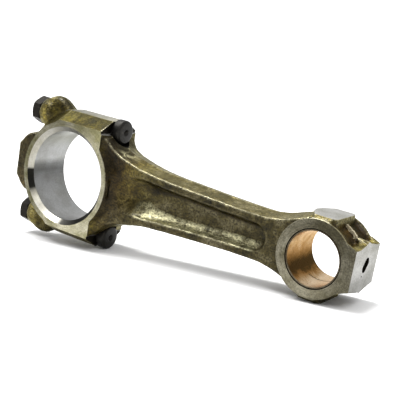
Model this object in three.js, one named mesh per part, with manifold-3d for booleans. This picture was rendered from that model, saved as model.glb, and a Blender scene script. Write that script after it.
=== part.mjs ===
// Forged connecting rod with a bolted bearing cap, in millimetres.
// X runs from the crank end to the pin end, Y along both bores, Z up.
// The rod and its cap are die forged, so every forged wall leans in from the middle plane Y = 0 to the faces.
// Only the faces, bores, pads and seats are machined flat or round.
import * as THREE from 'three';
import { mergeVertices } from 'three/addons/utils/BufferGeometryUtils.js';
import Module from 'manifold-3d';

const wasm = await Module();
wasm.setup();

// Overall sizes
const centreDistance = 185;        // crank bore centre to pin bore centre
const crankBoreRadius = 29.65;
const crankFaceHalf = 17.9;        // half the width over the crank end's thrust faces
const pinBushBoreRadius = 15.8;
const pinFaceHalf = 16.6;          // half the width over the pin end's faces

// Crank end forging
const crankChamfer = 3;            // on both rims of the crank bore
const thrustRim = 6.35;            // ring of thrust face outside the bore
const landHalf = 7;                // half width of the narrow flat along the outside of the crank end
const landRise = 6.2;              // how far that flat stands out beyond the edge of the thrust face
const shoulderReach = 26.8;        // crank bore centre to the forged shoulder that faces the beam
const shoulderLean = 0.15;         // how much the shoulder leans, for each millimetre of landRise
const capFlatReach = 10;           // length of the cap's flat top and bottom, before its back turns round
const capBackHalf = 1.2;           // radians of that round back, either side of its middle
const crankRimRadius = crankBoreRadius + thrustRim;
const crankLandRadius = crankRimRadius + landRise;

// Bolts and nuts
const boltRadius = 4.5;
const boltWall = 1.35;             // metal left between a bolt hole and the crank bore
const holeClearance = 0.3;         // round a bolt in its holes and its nut
const seatGap = 0.3;               // between two faces that rest on each other
const boltHeadOverhang = 3.5;      // how far a head stands out beyond its shank
const boltHeadHeight = 6;
const boltHeadChamfer = 1.5;
const boltDimpleRadius = 1.7;
const boltDimpleDepth = 1.4;
const boltEndChamfer = 1;
const boltPastNut = 2;             // how far the threaded end stands out of its nut
const nutHeight = 7.6;
const nutWall = 3.2;               // from a bolt's thread to the flats of its nut
const nutChamfer = 0.9;
const boltHeadRadius = boltRadius + boltHeadOverhang;
const nutCornerRadius = 2 * (boltRadius + nutWall) / Math.sqrt(3);
const boltHoleRadius = boltRadius + holeClearance;
const boltOffset = crankBoreRadius + boltWall + boltHoleRadius;

// Milled seats
const headSeatCut = 0.5;           // how far the seat under a bolt head is milled into the shoulder
const headSeatDepth = 8;           // how far in from the outer flat the straight step is milled
const headSpotClearance = 1;       // round a bolt head in its spot face
const headSpotLength = 24;
const nutSeatReach = 36.5;         // crank bore centre to the seat under a nut
const nutSeatMargin = 1.2;         // above and below the balance pad's root, left for the cutter
const headSeatReach = shoulderReach - headSeatCut;

// Bearing cap
const partingGap = 0.3;            // between the rod and its cap
const bossSeatMargin = 0.3;        // round a nut's corners
const bossSeatRadius = nutCornerRadius + bossSeatMargin;
// Boss round a bolt: distance from the nut seat, and how far it swells beyond the seat's radius.
const bossProfile = [[0, 0], [3.5, 0.6], [8.5, 0.6], [13, -1.2], [18.5, -4.4]];
const ridgeRise = 12.4;            // bolt axis to the top of the ridge along the middle of the boss
// That ridge: distance from the crank bore centre, and how far it stays below its top.
const ridgeLine = [[35.5, 3.6], [33.5, 1.6], [30, 0.4], [25.5, 0], [21.5, 1.2], [17, 3.8], [13.2, 6.4]];
const ridgeCrestHalf = 2.6;
const ridgeFootHalf = 4.4;
const ridgeDraft = 4;              // how much lower the ridge is at its foot than at its crest
const capPadRise = 7.8;            // how far the balance pad stands out of the back of the cap
const capPadHalfHeight = 13;
const capPadHalfWidth = 10;
const capPadCorner = 3;
const capPadRoot = 20;             // half height of the pad where it grows out of the cap
const capPadLean = 1;              // how much taller the pad is at the middle plane
const capPadSink = 4;              // how far the pad runs into the cap
const capPadReach = crankLandRadius + capPadRise;
const tangWidth = 6;               // bearing shell notches beside the parting line
const tangLength = 5;
const tangDepth = 1.4;
const tangSetback = 3.6;           // from the middle plane to the near side of a notch

// Beam
const beamHalfWidth = 12;
const beamLean = 2.3;              // how far the flanges stand out at the middle plane
const beamSink = 3;                // how far the beam runs into the crank end
// Half heights of the flanges at the faces: distance from the shoulder, then the half height there.
const beamFromShoulder = [[2, 31], [8, 25.3], [17, 21.2], [39, 16.9]];
// The same back from the pin bore centre, down to the waist and up again.
const beamFromPin = [[81, 14.6], [44, 13.3], [28, 14.6]];
// Where the flanges meet the pin end: distance from its centre, and how far inside its pads.
const beamIntoPads = [[16, 6], [9, 3.4]];
const flangeThickness = 4.9;
const webHalf = 3.7;
const pocketWallRun = 5;           // how far the pocket's walls lean and curl in down to the web
const pocketWallLean = 0.14;       // the share of that run taken by the straight part of a wall
const pocketCurlStart = 0.28;      // the share of the depth where the curl begins
const pocketSetback = 5;           // edge of the thrust face to the pocket's shallow end
const pocketStartRun = 23;         // length of that slope down to the web
const pocketEnd = 33;              // pin bore centre to the pocket's steep end
const pocketEndRun = 7;
const pocketStartRound = 24;       // length over which the shallow end comes to a point
const pocketEndRound = 9;
const pocketDepths = [0, 0.3, 0.55, 0.78, 0.93, 1];

// Pin end
const pinWall = 5.9;               // steel round the bush
const bushWall = 1.3;
const bushFit = 0.2;               // radial room between the bush and its housing, pressed in on the real rod
const bushShort = 0.3;             // the bush ends this far below each face
const bushChamfer = 0.7;
const pinHousingRadius = pinBushBoreRadius + bushWall + bushFit;
const pinRimRadius = pinHousingRadius + pinWall - bushFit;
const pinRimLip = 1.5;             // width of the full rim beside each face
const pinChannelDepth = 2.6;       // forged channel either side of the flash line
const pinChannelSlope = 2;
const flashHalf = 0.7;             // trimmed flash line on the middle plane
const flashFootHalf = 2.6;
const pinPadRise = 1.4;            // how far the machined pads stand out beyond the rim
const pinPadReach = pinRimRadius + pinPadRise;
const endPadRoot = 10;             // pin bore centre to where the end pad's walls leave the ring
const endPadFaceHalf = 10.8;       // half height of the end pad at the faces and at the middle plane
const endPadMiddleHalf = 14;
const sidePadEdgeHalf = 6;         // half length of the upper and lower pads at their ends and middle
const sidePadMiddleHalf = 10.5;
const sidePadHalfWidth = 13.4;
const sidePadTaper = 1;            // how much shorter a pad is at the face than where its slope begins
const sidePadDrop = 0.4;           // how far its slope ends inside the rim
const oilHoleRadius = 1.8;
const oilSlotRadius = 2.5;
const oilSlotLength = 8.4;
const oilSlotDepth = 2.2;
const oilSlotTilt = 0.6;           // radians from upright

const roundSteps = 88;             // flats round a bore
const bossSteps = 48;
const smallSteps = 24;
const beyond = 1;                  // how far a cutter passes the metal it cuts

const toSolid = (geometry) => {
  const bare = geometry.clone();
  bare.deleteAttribute('normal');
  bare.deleteAttribute('uv');
  const merged = mergeVertices(bare, 1e-4);
  const vertProperties = new Float32Array(merged.attributes.position.array);
  const triVerts = new Uint32Array(merged.index.array);
  return new wasm.Manifold(new wasm.Mesh({ numProp: 3, vertProperties, triVerts }));
};

const toMesh = (name, solid, material) => {
  const { vertProperties, triVerts } = solid.getMesh();
  const geometry = new THREE.BufferGeometry();
  geometry.setAttribute('position', new THREE.BufferAttribute(new Float32Array(vertProperties), 3));
  geometry.setIndex(new THREE.BufferAttribute(new Uint32Array(triVerts), 1));
  geometry.computeVertexNormals();
  const mesh = new THREE.Mesh(geometry, material);
  mesh.name = name;
  return mesh;
};

const joinAll = (solids) => solids.reduce((whole, solid) => whole.add(solid));
const cutAll = (solid, cutters) => cutters.reduce((left, cutter) => left.subtract(cutter), solid);

// A box between two corners.
const block = (low, high) => {
  const box = new THREE.BoxGeometry(high[0] - low[0], high[1] - low[1], high[2] - low[2]);
  box.translate((low[0] + high[0]) / 2, (low[1] + high[1]) / 2, (low[2] + high[2]) / 2);
  return toSolid(box);
};

// A body turned about an axis along Y through x: profile points are [y, radius], from the front to the back.
const turnedAlongY = (profile, x) => {
  const points = profile.map(([y, radius]) => new THREE.Vector2(radius, y));
  const turned = new THREE.LatheGeometry(points, roundSteps);
  turned.translate(x, 0, 0);
  return toSolid(turned);
};

// A body turned about an axis along X: profile points are [x, radius], from one end of the axis to the other.
const turnedAlongX = (profile, z, steps) => {
  const points = profile.map(([x, radius]) => new THREE.Vector2(radius, x));
  const turned = new THREE.LatheGeometry(points, steps);
  turned.rotateZ(-Math.PI / 2);
  turned.translate(0, 0, z);
  return toSolid(turned);
};

const holeAlongX = (radius, from, to, z) =>
  turnedAlongX([[from, 0], [from, radius], [to, radius], [to, 0]], z, bossSteps);

// A drafted solid: sections are [y, outline] from front to back, each outline a list of [x, z] of one length.
const drafted = (sections) => {
  const corners = sections[0][1].length;
  const positions = sections.flatMap(([y, outline]) => outline.flatMap(([x, z]) => [x, y, z]));
  const indices = [];
  const cap = (start, outline, flip) => {
    const contour = outline.map(([x, z]) => new THREE.Vector2(x, z));
    for (const [a, b, c] of THREE.ShapeUtils.triangulateShape(contour, [])) {
      indices.push(start + a, start + (flip ? c : b), start + (flip ? b : c));
    }
  };
  cap(0, sections[0][1], false);
  cap((sections.length - 1) * corners, sections.at(-1)[1], true);
  for (let row = 0; row < sections.length - 1; row += 1) {
    for (let i = 0; i < corners; i += 1) {
      const a = row * corners + i;
      const b = row * corners + (i + 1) % corners;
      indices.push(a, a + corners, b, b, a + corners, b + corners);
    }
  }
  const geometry = new THREE.BufferGeometry();
  geometry.setAttribute('position', new THREE.Float32BufferAttribute(positions, 3));
  geometry.setIndex(indices);
  return toSolid(geometry);
};

// Points round part of a circle in the XZ plane.
const arc = (radius, from, to, steps) =>
  Array.from({ length: steps + 1 }, (_, i) => {
    const angle = from + (to - from) * i / steps;
    return [radius * Math.cos(angle), radius * Math.sin(angle)];
  });

// Both halves of the crank end share one section: wide flats at the middle, leaning walls out to the faces.
const crankSections = (outline) => [
  [-crankFaceHalf, outline(0)], [-landHalf, outline(landRise)],
  [landHalf, outline(landRise)], [crankFaceHalf, outline(0)],
];

const rodCrankOutline = (rise) => {
  const radius = crankRimRadius + rise;
  const shoulder = shoulderReach + shoulderLean * rise;
  const edge = Math.acos(shoulder / radius);
  return [[partingGap / 2, -radius], [shoulder, -radius], ...arc(radius, -edge, edge, 20),
    [shoulder, radius], [partingGap / 2, radius]];
};

const capCrankOutline = (rise) => {
  const radius = crankRimRadius + rise;
  return [[-partingGap / 2, radius], [-capFlatReach, radius],
    ...arc(radius, Math.PI - capBackHalf, Math.PI + capBackHalf, 36),
    [-capFlatReach, -radius], [-partingGap / 2, -radius]];
};

// Half height of the beam's flanges along its length, at its faces.
const beamCurve = new THREE.SplineCurve([
  ...beamFromShoulder.map(([along, half]) => new THREE.Vector2(shoulderReach + along, half)),
  ...beamFromPin.map(([back, half]) => new THREE.Vector2(centreDistance - back, half)),
  ...beamIntoPads.map(([back, inside]) => new THREE.Vector2(centreDistance - back, pinPadReach - inside)),
]);
const beamPoints = beamCurve.getPoints(40);

const beamHalfAt = (x) => {
  const next = Math.max(1, beamPoints.findIndex((point) => point.x >= x));
  const [a, b] = [beamPoints[next - 1], beamPoints[next]];
  return a.y + (b.y - a.y) * (x - a.x) / (b.x - a.x);
};

const beamOutline = (lean) => {
  const top = beamPoints.map(({ x, y }) => [x, y + lean]);
  const start = shoulderReach - beamSink;
  return [[start, -top[0][1]], ...top.map(([x, z]) => [x, -z]),
    ...top.toReversed(), [start, top[0][1]]];
};

const beamBlank = () => drafted([
  [-beamHalfWidth, beamOutline(0)], [0, beamOutline(beamLean)], [beamHalfWidth, beamOutline(0)]]);

// One side's pocket of the I section: a long slope at the crank end, a short round end at the pin end.
// Depth runs from 0 at the flange's face to 1 at the web.
const pocketOutline = (depth) => {
  const steps = 30;
  const curl = Math.max(0, (depth - pocketCurlStart) / (1 - pocketCurlStart));
  const bend = pocketWallLean * depth + (1 - pocketWallLean) * (1 - Math.sqrt(1 - curl * curl));
  const from = crankRimRadius + pocketSetback + pocketStartRun * depth;
  const to = centreDistance - pocketEnd - pocketEndRun * bend;
  const top = [];
  for (let i = 0; i <= steps; i += 1) {
    const x = from + (to - from) * (1 - Math.cos(Math.PI * i / steps)) / 2;
    const fromStart = Math.max(0, 1 - (x - from) / pocketStartRound);
    const fromEnd = Math.max(0, 1 - (to - x) / pocketEndRound);
    const half = beamHalfAt(x) - flangeThickness - pocketWallRun * bend;
    const pinch = (1 - fromStart * fromStart) * (1 - fromEnd * fromEnd);
    top.push([x, half * Math.sqrt(Math.max(0, pinch))]);
  }
  return [...top.map(([x, z]) => [x, -z]), ...top.slice(1, -1).toReversed()];
};

const pocket = (side) => {
  const drop = beamHalfWidth - webHalf;
  const over = -beyond / drop;
  const sections = [over, ...pocketDepths].map((depth) =>
    [side * (beamHalfWidth - drop * depth), pocketOutline(depth)]);
  return drafted(side < 0 ? sections : sections.toReversed());
};

// The ring round the bush: a full rim at each face, and two channels with the flash line between them.
const pinRing = () => {
  const channel = pinRimRadius - pinChannelDepth;
  const lip = pinFaceHalf - pinRimLip;
  const half = [[pinFaceHalf, 0], [pinFaceHalf, pinRimRadius], [lip, pinRimRadius],
    [lip - pinChannelSlope, channel], [flashFootHalf, channel], [flashHalf, pinRimRadius]];
  return turnedAlongY([...half.map(([y, radius]) => [-y, radius]), ...half.toReversed()], centreDistance);
};

const endPad = () => {
  const outline = (half) => [[centreDistance + endPadRoot, -pinHousingRadius],
    [centreDistance + pinPadReach, -half], [centreDistance + pinPadReach, half],
    [centreDistance + endPadRoot, pinHousingRadius]];
  return drafted([[-pinFaceHalf, outline(endPadFaceHalf)], [0, outline(endPadMiddleHalf)],
    [pinFaceHalf, outline(endPadFaceHalf)]]);
};

// Upper and lower pads: barrel shaped flats that slope down to the ring at both faces.
const sidePad = (side) => {
  const outline = (half, reach) => {
    const base = pinHousingRadius + bushFit;
    const corners = [[-half, base], [half, base], [half, reach], [-half, reach]];
    return corners.map(([x, z]) => [centreDistance + side * x, side * z]);
  };
  const foot = outline(sidePadEdgeHalf - sidePadTaper, pinRimRadius - sidePadDrop);
  const edge = outline(sidePadEdgeHalf, pinPadReach);
  const middle = outline(sidePadMiddleHalf, pinPadReach);
  return drafted([[-pinFaceHalf, foot], [-sidePadHalfWidth, edge], [0, middle],
    [sidePadHalfWidth, edge], [pinFaceHalf, foot]]);
};

// The crank bore with a chamfer on each rim.
const crankBore = () => {
  const flare = crankBoreRadius + crankChamfer + beyond;
  const half = crankFaceHalf + beyond;
  const straight = crankFaceHalf - crankChamfer;
  return turnedAlongY([[-half, 0], [-half, flare], [-straight, crankBoreRadius], [straight, crankBoreRadius],
    [half, flare], [half, 0]], 0);
};

const shellNotch = (side) => {
  const from = side < 0 ? -tangLength : 0;
  return block([from, tangSetback, crankBoreRadius - beyond],
    [from + tangLength, tangSetback + tangWidth, crankBoreRadius + tangDepth]);
};

// Seat, step and spot face for one bolt head.
const headSeatCutters = (side) => {
  const step = crankLandRadius - headSeatDepth;
  const spot = boltHeadRadius + headSpotClearance;
  const far = crankLandRadius + beyond;
  const low = Math.min(side * step, side * far);
  const high = Math.max(side * step, side * far);
  const wide = crankFaceHalf + beyond;
  const end = headSeatReach + headSpotLength;
  return [
    block([headSeatReach, -wide, low], [end, wide, high]),
    holeAlongX(spot, headSeatReach, end, side * boltOffset),
  ];
};

// The oil hole, from the middle of the pin bore out to a reach.
const oilHole = (reach) => {
  const hole = new THREE.CylinderGeometry(oilHoleRadius, oilHoleRadius, reach, smallSteps);
  hole.rotateZ(-Math.PI / 2);
  hole.translate(centreDistance + reach / 2, 0, 0);
  return toSolid(hole);
};

const oilCutters = () => {
  const reach = pinPadReach + beyond;
  const slotShape = new THREE.Shape();
  const straight = oilSlotLength / 2 - oilSlotRadius;
  slotShape.absarc(straight, 0, oilSlotRadius, -Math.PI / 2, Math.PI / 2);
  slotShape.absarc(-straight, 0, oilSlotRadius, Math.PI / 2, 3 * Math.PI / 2);
  const depth = oilSlotDepth + beyond;
  const slot = new THREE.ExtrudeGeometry(slotShape, { depth, bevelEnabled: false, curveSegments: 10 });
  slot.rotateY(Math.PI / 2);
  slot.rotateX(-oilSlotTilt);
  slot.translate(centreDistance + pinPadReach - oilSlotDepth, 0, 0);
  return [oilHole(reach), toSolid(slot)];
};

const makeRodBody = () => {
  const forging = joinAll([
    drafted(crankSections(rodCrankOutline)), beamBlank(), pinRing(), endPad(), sidePad(1), sidePad(-1)]);
  const boltHoles = [1, -1].map((side) =>
    holeAlongX(boltHoleRadius, -beyond, headSeatReach + beyond, side * boltOffset));
  const wide = pinFaceHalf + beyond;
  const pinHousing = turnedAlongY(
    [[-wide, 0], [-wide, pinHousingRadius], [wide, pinHousingRadius], [wide, 0]], centreDistance);
  return cutAll(forging, [
    pocket(1), pocket(-1), crankBore(), shellNotch(1), pinHousing,
    ...headSeatCutters(1), ...headSeatCutters(-1), ...boltHoles, ...oilCutters()]);
};

// Boss round one bolt on the cap, from the nut's seat until it dies into the outer flat.
const capBoss = (side) => {
  const profile = bossProfile.map(([along, swell]) => [along - nutSeatReach, bossSeatRadius + swell]);
  const turned = [[profile[0][0], 0], ...profile, [profile.at(-1)[0], 0]];
  return turnedAlongX(turned, side * boltOffset, bossSteps);
};

// Ridge along the middle of that boss, where the dies meet.
const capRidge = (side) => {
  const outline = (drop) => {
    const top = ridgeLine.map(([back, below]) => [-back, boltOffset + ridgeRise - below - drop]);
    const upper = [[top[0][0], boltOffset], ...top, [top.at(-1)[0], boltOffset]];
    return side > 0 ? upper.toReversed() : upper.map(([x, z]) => [x, -z]);
  };
  return drafted([[-ridgeFootHalf, outline(ridgeDraft)], [-ridgeCrestHalf, outline(0)],
    [ridgeCrestHalf, outline(0)], [ridgeFootHalf, outline(ridgeDraft)]]);
};

const capPad = () => {
  const outline = (lean) => {
    const half = capPadHalfHeight + lean;
    const root = capPadRoot + lean;
    const [near, far] = [capPadSink - crankRimRadius, -capPadReach];
    const waist = (far - crankLandRadius) / 2;
    const upper = [[near, root], [waist, root - capPadLean], [far + capPadCorner, half + capPadLean],
      [far, half - capPadCorner]];
    return [...upper, ...upper.map(([x, z]) => [x, -z]).toReversed()];
  };
  return drafted([[-capPadHalfWidth, outline(0)], [0, outline(capPadLean)], [capPadHalfWidth, outline(0)]]);
};

const makeBearingCap = () => {
  const forging = joinAll([
    drafted(crankSections(capCrankOutline)), capBoss(1), capBoss(-1), capRidge(1), capRidge(-1), capPad()]);
  const cutters = [crankBore(), shellNotch(-1)];
  for (const side of [1, -1]) {
    const near = side * (capPadRoot + nutSeatMargin);
    const far = side * (boltOffset + ridgeRise + beyond);
    cutters.push(block([-capPadReach, -crankFaceHalf - beyond, Math.min(near, far)],
      [-nutSeatReach, crankFaceHalf + beyond, Math.max(near, far)]));
    cutters.push(holeAlongX(boltHoleRadius, -nutSeatReach - beyond, beyond, side * boltOffset));
  }
  return cutAll(forging, cutters);
};

const makeBolt = (side) => {
  const under = headSeatReach + seatGap;
  const top = under + boltHeadHeight;
  const end = -nutSeatReach - seatGap - nutHeight - boltPastNut;
  return turnedAlongX([
    [end, 0], [end, boltRadius - boltEndChamfer], [end + boltEndChamfer, boltRadius], [under, boltRadius],
    [under, boltHeadRadius], [top - boltHeadChamfer, boltHeadRadius], [top, boltHeadRadius - boltHeadChamfer],
    [top, boltDimpleRadius], [top - boltDimpleDepth, 0],
  ], side * boltOffset, bossSteps);
};

const makeNut = (side) => {
  const near = -nutSeatReach - seatGap;
  const far = near - nutHeight;
  const corner = nutCornerRadius;
  const slope = nutChamfer / Math.sqrt(3);
  const hexagon = new THREE.CylinderGeometry(corner, corner, nutHeight, 6);
  hexagon.rotateZ(Math.PI / 2);
  hexagon.rotateX(Math.PI / 2);
  hexagon.translate((near + far) / 2, 0, side * boltOffset);
  const turned = turnedAlongX([[far, 0], [far, corner - nutChamfer], [far + slope, corner],
    [near - slope, corner], [near, corner - nutChamfer], [near, 0]], side * boltOffset, bossSteps);
  return toSolid(hexagon).intersect(turned)
    .subtract(holeAlongX(boltHoleRadius, far - beyond, near + beyond, side * boltOffset));
};

const makeBush = () => {
  const half = pinFaceHalf - bushShort;
  const outer = pinBushBoreRadius + bushWall;
  const inner = pinBushBoreRadius;
  const flare = inner + bushChamfer;
  const bush = turnedAlongY([[-half, outer], [half, outer], [half, flare], [half - bushChamfer, inner],
    [bushChamfer - half, inner], [-half, flare], [-half, outer]], centreDistance);
  return bush.subtract(oilHole(pinPadReach));
};

const forgedSteel = new THREE.MeshStandardMaterial({ color: 0x5e5845, roughness: 0.62, metalness: 0.7 });
const capSteel = new THREE.MeshStandardMaterial({ color: 0x645d48, roughness: 0.6, metalness: 0.7 });
const boltSteel = new THREE.MeshStandardMaterial({ color: 0x24262b, roughness: 0.45, metalness: 0.8 });
const nutSteel = new THREE.MeshStandardMaterial({ color: 0x3a342b, roughness: 0.5, metalness: 0.75 });
const bronze = new THREE.MeshStandardMaterial({ color: 0xb98f5e, roughness: 0.35, metalness: 0.9 });

// The origin is under the middle of the rod, on the level of its lowest boss.
const rod = new THREE.Group();
rod.position.set((capPadReach - centreDistance - pinPadReach) / 2, 0, boltOffset + ridgeRise);
rod.add(toMesh('rod_body', makeRodBody(), forgedSteel));
rod.add(toMesh('bearing_cap', makeBearingCap(), capSteel));
rod.add(toMesh('pin_bush', makeBush(), bronze));
for (const [side, place] of [[1, 'upper'], [-1, 'lower']]) {
  rod.add(toMesh(`${place}_bolt`, makeBolt(side), boltSteel));
  rod.add(toMesh(`${place}_nut`, makeNut(side), nutSteel));
}

export default rod;
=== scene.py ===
import math

import bmesh
import bpy
import numpy as np
from mathutils import Matrix, Vector, noise


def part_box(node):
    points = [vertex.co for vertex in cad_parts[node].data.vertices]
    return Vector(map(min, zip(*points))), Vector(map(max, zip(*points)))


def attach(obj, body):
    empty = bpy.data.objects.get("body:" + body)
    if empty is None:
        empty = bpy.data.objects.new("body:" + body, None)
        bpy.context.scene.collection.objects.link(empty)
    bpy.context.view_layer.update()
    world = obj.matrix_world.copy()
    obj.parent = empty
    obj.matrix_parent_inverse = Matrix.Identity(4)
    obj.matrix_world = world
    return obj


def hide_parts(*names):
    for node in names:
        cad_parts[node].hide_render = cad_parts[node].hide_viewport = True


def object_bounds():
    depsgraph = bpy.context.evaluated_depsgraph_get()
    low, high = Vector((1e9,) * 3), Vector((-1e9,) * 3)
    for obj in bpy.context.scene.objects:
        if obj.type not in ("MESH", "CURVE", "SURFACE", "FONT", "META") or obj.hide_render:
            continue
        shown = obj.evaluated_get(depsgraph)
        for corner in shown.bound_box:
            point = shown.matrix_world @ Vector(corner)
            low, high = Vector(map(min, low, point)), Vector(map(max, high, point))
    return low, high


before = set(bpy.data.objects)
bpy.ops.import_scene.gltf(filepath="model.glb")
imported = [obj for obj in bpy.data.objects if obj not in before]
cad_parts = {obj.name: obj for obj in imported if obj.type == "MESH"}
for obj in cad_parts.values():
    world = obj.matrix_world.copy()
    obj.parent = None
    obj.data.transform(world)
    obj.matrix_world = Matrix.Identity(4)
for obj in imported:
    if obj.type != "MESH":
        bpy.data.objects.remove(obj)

cadLow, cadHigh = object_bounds()
print("frame loaded, forging a connecting rod")

# Everything is shaped in millimetres about the middle of the crank bore, then moved into the frame.
# X runs along the rod to the pin end, Y along the bores, Z up to the upper bolt.
mm = 0.001
partingGap = 0.3
capLow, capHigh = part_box("bearing_cap")
bushLow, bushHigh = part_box("pin_bush")
boltLow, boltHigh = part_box("upper_bolt")
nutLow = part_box("upper_nut")[0]
crankCentre = Vector((capHigh[0] + partingGap / 2 * mm, 0, (capLow[2] + capHigh[2]) / 2))


def local(point):
    return [(point[i] - crankCentre[i]) / mm for i in range(3)]


pinX = local((Vector(bushLow) + Vector(bushHigh)) / 2)[0]
boltZ = local((Vector(boltLow) + Vector(boltHigh)) / 2)[2]
crankFace = local(capHigh)[1]
pinFace = local(bushHigh)[1] + 0.3
headTop = local(boltHigh)[0]
boltEnd = local(boltLow)[0]
nutFar = local(nutLow)[0]
capPadX = local(capLow)[0]
roundSteps = 120
slack = 4.0             # how far a cutter runs past what it cuts
boltHoleRadius = 4.75
farAway = 60            # past the outside of the rod in any direction across it


# small mesh tools
def newObject(name, mesh):
    obj = bpy.data.objects.new(name, mesh)
    bpy.context.scene.collection.objects.link(obj)
    return obj


def closedObject(name, bm):
    bmesh.ops.recalc_face_normals(bm, faces=bm.faces)
    mesh = bpy.data.meshes.new(name)
    bm.to_mesh(mesh)
    bm.free()
    return newObject(name, mesh)


def pointsOf(obj):
    points = np.empty(len(obj.data.vertices) * 3, dtype=np.float32)
    obj.data.vertices.foreach_get("co", points)
    return points.reshape(-1, 3)


def fromRings(name, rings):
    # closes a stack of rings of equal length with a face at each end
    bm = bmesh.new()
    rows = [[bm.verts.new(p) for p in ring] for ring in rings]
    for lower, upper in zip(rows, rows[1:]):
        for i in range(len(lower)):
            j = (i + 1) % len(lower)
            bm.faces.new((lower[i], lower[j], upper[j], upper[i]))
    bm.faces.new(rows[0][::-1])
    bm.faces.new(rows[-1])
    return closedObject(name, bm)


def drafted(name, sections):
    # sections are (y, outline) from front to back, an outline being a list of (x, z)
    return fromRings(name, [[(x, y, z) for x, z in outline] for y, outline in sections])


def turned(name, profile, axis="x", centre=(0, 0, 0), steps=roundSteps):
    # profile is (along, radius); a profile that never reaches the axis closes on itself into a ring
    bm = bmesh.new()
    cx, cy, cz = centre
    rows = []
    for along, radius in profile:
        row = []
        for i in range(steps if radius > 1e-6 else 1):
            a = 2 * math.pi * i / steps
            u, v = radius * math.cos(a), radius * math.sin(a)
            point = (cx + along, cy + u, cz + v) if axis == "x" else (cx + u, cy + along, cz + v)
            row.append(bm.verts.new(point))
        rows.append(row)
    ring = profile[0][1] > 1e-6
    pairs = list(zip(rows, rows[1:])) + ([(rows[-1], rows[0])] if ring else [])
    for lower, upper in pairs:
        for i in range(steps):
            j = (i + 1) % steps
            corners = [row[k % len(row)] for row, k in ((lower, i), (lower, j), (upper, j), (upper, i))]
            bm.faces.new(list(dict.fromkeys(corners)))
    return closedObject(name, bm)


def roundBar(name, start, end, radius, **where):
    return turned(name, [(start, 0), (start, radius), (end, radius), (end, 0)], **where)


def block(name, low, high):
    ring = [(low[0], low[2]), (high[0], low[2]), (high[0], high[2]), (low[0], high[2])]
    return drafted(name, [(low[1], ring), (high[1], ring)])


def bake(obj):
    # swaps the mesh for what its modifiers make of it
    graph = bpy.context.evaluated_depsgraph_get()
    mesh = bpy.data.meshes.new_from_object(obj.evaluated_get(graph))
    obj.modifiers.clear()
    obj.data = mesh
    return obj


def combine(obj, tools, operation, finish=None):
    # every cut leaves the finish of the tool that made it
    for tool in tools:
        if finish:
            tool.data.materials.clear()
            tool.data.materials.append(finish)
        step = obj.modifiers.new("step", "BOOLEAN")
        step.operation = operation
        step.object = tool
        step.solver = "MANIFOLD"
        step.material_mode = "TRANSFER"
        bake(obj)
        bpy.data.objects.remove(tool)
    return obj


def cut(obj, tools, finish=None):
    return combine(obj, tools, "DIFFERENCE", finish)


def wearSkin(obj, finish):
    obj.data.materials.clear()
    obj.data.materials.append(finish)


def arc(radius, start, end, steps, centre=(0, 0)):
    angles = [start + (end - start) * i / steps for i in range(steps + 1)]
    return [(centre[0] + radius * math.cos(a), centre[1] + radius * math.sin(a)) for a in angles]


def smoothLine(points, steps):
    # an even curve through a few points, as a list of (x, z)
    points = [points[0]] + list(points) + [points[-1]]
    line = []
    for i in range(1, len(points) - 2):
        p0, p1, p2, p3 = (Vector(p) for p in points[i - 1:i + 3])
        for k in range(steps):
            t = k / steps
            line.append(0.5 * (2 * p1 + (p2 - p0) * t + (2 * p0 - 5 * p1 + 4 * p2 - p3) * t ** 2
                               + (3 * p1 - p0 - 3 * p2 + p3) * t ** 3))
    return [tuple(p) for p in line] + [tuple(points[-1])]


def limited(amount):
    return min(1, max(0, amount))


# how a forging comes off the dies
forgeSettings = {
    "voxel": 0.7,           # grain of the skin mesh
    "smoothPasses": 7,      # rounds the die edges
    "wornPasses": 60,       # rounds the worn spots much more
    "soften": 0.5,          # how far each pass goes
    "dent": 0.16,           # depth of the broad unevenness
    "dentSize": 9,
    "rippleSize": 3.6,
    "pit": 0.05,            # depth of the scale pits
    "pitSize": 1.3,
    "flashHeight": 0.45,    # trimmed flash line on the middle plane
    "flashHalf": 0.9,
    "flashRagged": 2.5,     # length of its unevenness
    "flashFacing": 0.55,    # how squarely the skin must face out to carry it
}


def forge(obj, seed, softer=None):
    # softer gives a weight from 0 to 1 for the spots where the dies are worn round
    f = forgeSettings
    remesh = obj.modifiers.new("skin", "REMESH")
    remesh.mode = "VOXEL"
    remesh.voxel_size = f["voxel"]
    bake(obj)
    smooth = obj.modifiers.new("soften", "SMOOTH")
    smooth.factor = f["soften"]
    smooth.iterations = f["smoothPasses"]
    if softer:
        group = obj.vertex_groups.new(name="worn")
        for vertex in obj.data.vertices:
            weight = softer(vertex.co)
            if weight > 0.01:
                group.add([vertex.index], min(1, weight), "REPLACE")
        wear = obj.modifiers.new("wear", "SMOOTH")
        wear.factor = f["soften"]
        wear.iterations = f["wornPasses"]
        wear.vertex_group = "worn"
    bake(obj)
    mesh = obj.data
    offset = Vector((seed * 17.3, seed * 5.1, 0))
    moved = []
    for vertex in mesh.vertices:
        p, n = vertex.co, vertex.normal
        dent = noise.noise(p / f["dentSize"] + offset) * 0.6 + noise.noise(p / f["rippleSize"] + offset) * 0.4
        pit = noise.noise(p / f["pitSize"] + offset)
        push = f["dent"] * dent - f["pit"] * max(0, pit) * 2
        if abs(p.y) < 2 * f["flashHalf"] and abs(n.y) < f["flashFacing"]:
            rough = 0.75 + 0.5 * noise.noise(Vector((p.x / f["flashRagged"], p.z / f["flashRagged"], seed)))
            push += f["flashHeight"] * rough * math.exp(-(p.y / f["flashHalf"]) ** 2)
        moved.append(p + n * push)
    mesh.vertices.foreach_set("co", np.array(moved, dtype=np.float32).ravel())
    mesh.update()
    return obj


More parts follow.
